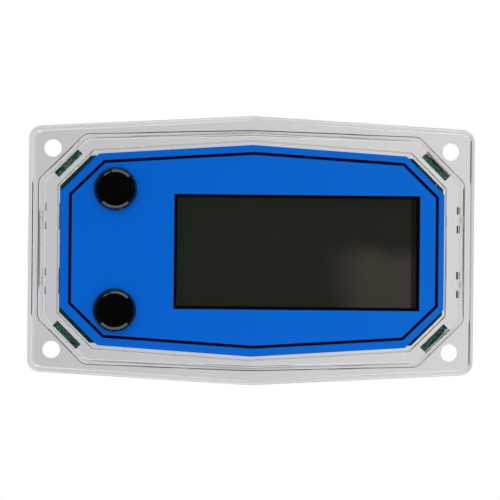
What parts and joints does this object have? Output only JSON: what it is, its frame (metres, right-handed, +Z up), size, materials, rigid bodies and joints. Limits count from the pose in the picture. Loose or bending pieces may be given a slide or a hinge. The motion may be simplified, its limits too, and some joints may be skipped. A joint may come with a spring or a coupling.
{
  "type": "flow meter display head",
  "caption": "Clear-cased display head of a turbine flow meter, with a framed label, two push buttons, a liquid crystal display and a pickup coil.",
  "frame": {"origin": "centre of the screw-hole rectangle, on the seating plane at the back of the flange", "axes": "+X to the right across the face, +Z up the face, the face looks along -Y and the screws run along Y"},
  "size_m": [0.102, 0.0204, 0.0616],
  "materials": {
    "clear_plastic": "polished clear",
    "label": "satin print",
    "seal": "matte",
    "button": "gloss",
    "black_rubber": "matte",
    "spring_steel": "bright",
    "black_plastic": "matte",
    "grey_plastic": "matte",
    "tinned_metal": "satin",
    "display_film": "gloss",
    "display_glass": "polished",
    "reflector_film": "satin",
    "contact_rubber": "matte",
    "board": "solder mask",
    "ceramic": "matte",
    "cell_steel": "bright",
    "copper": "enamelled",
    "iron": "dull"
  },
  "bodies": {
    "head": {"front_housing": "clear_plastic", "face_label": "label", "perimeter_seal": "seal", "calibrate_switch": "black_plastic", "display_switch": "black_plastic", "switch_terminals": "tinned_metal", "lcd_front_film": "display_film", "lcd_front_glass": "display_glass", "lcd_rear_glass": "display_glass", "lcd_rear_film": "reflector_film", "lcd_bezel": "black_plastic", "contact_strips": "contact_rubber", "circuit_board": "board", "board_screws": "spring_steel", "controller_chip": "black_plastic", "chip_leads": "tinned_metal", "crystal": "tinned_metal", "chip_resistors": "black_plastic", "chip_capacitors": "ceramic", "battery_holder_left": "black_plastic", "battery_holder_right": "black_plastic", "battery_left": "cell_steel", "battery_right": "cell_steel", "battery_positive_clips": "spring_steel", "battery_negative_springs": "spring_steel", "coil_bobbin": "black_plastic", "coil_winding": "copper", "coil_core": "iron", "coil_leads": "copper"},
    "calibrate_key": {"calibrate_button": "button", "calibrate_button_ring": "black_rubber", "calibrate_button_clip": "spring_steel"},
    "display_key": {"display_button": "button", "display_button_ring": "black_rubber", "display_button_clip": "spring_steel"},
    "calibrate_plunger": {"calibrate_switch_plunger": "grey_plastic"},
    "display_plunger": {"display_switch_plunger": "grey_plastic"}
  },
  "joints": [
    {"name": "calibrate_press", "type": "slide", "parent": "head", "child": "calibrate_key", "axis": [0, 1, 0], "range_m": [0, 0.0005], "stiffness_N_per_m": 400},
    {"name": "display_press", "type": "slide", "parent": "head", "child": "display_key", "axis": [0, 1, 0], "range_m": [0, 0.0005], "stiffness_N_per_m": 400},
    {"name": "calibrate_plunger_press", "type": "slide", "parent": "head", "child": "calibrate_plunger", "axis": [0, 1, 0], "range_m": [0, 0.0005]},
    {"name": "display_plunger_press", "type": "slide", "parent": "head", "child": "display_plunger", "axis": [0, 1, 0], "range_m": [0, 0.0005]}
  ],
  "couplings": [
    {"joint": "calibrate_plunger_press", "follows": "calibrate_press", "ratio": 1},
    {"joint": "display_plunger_press", "follows": "display_press", "ratio": 1}
  ]
}
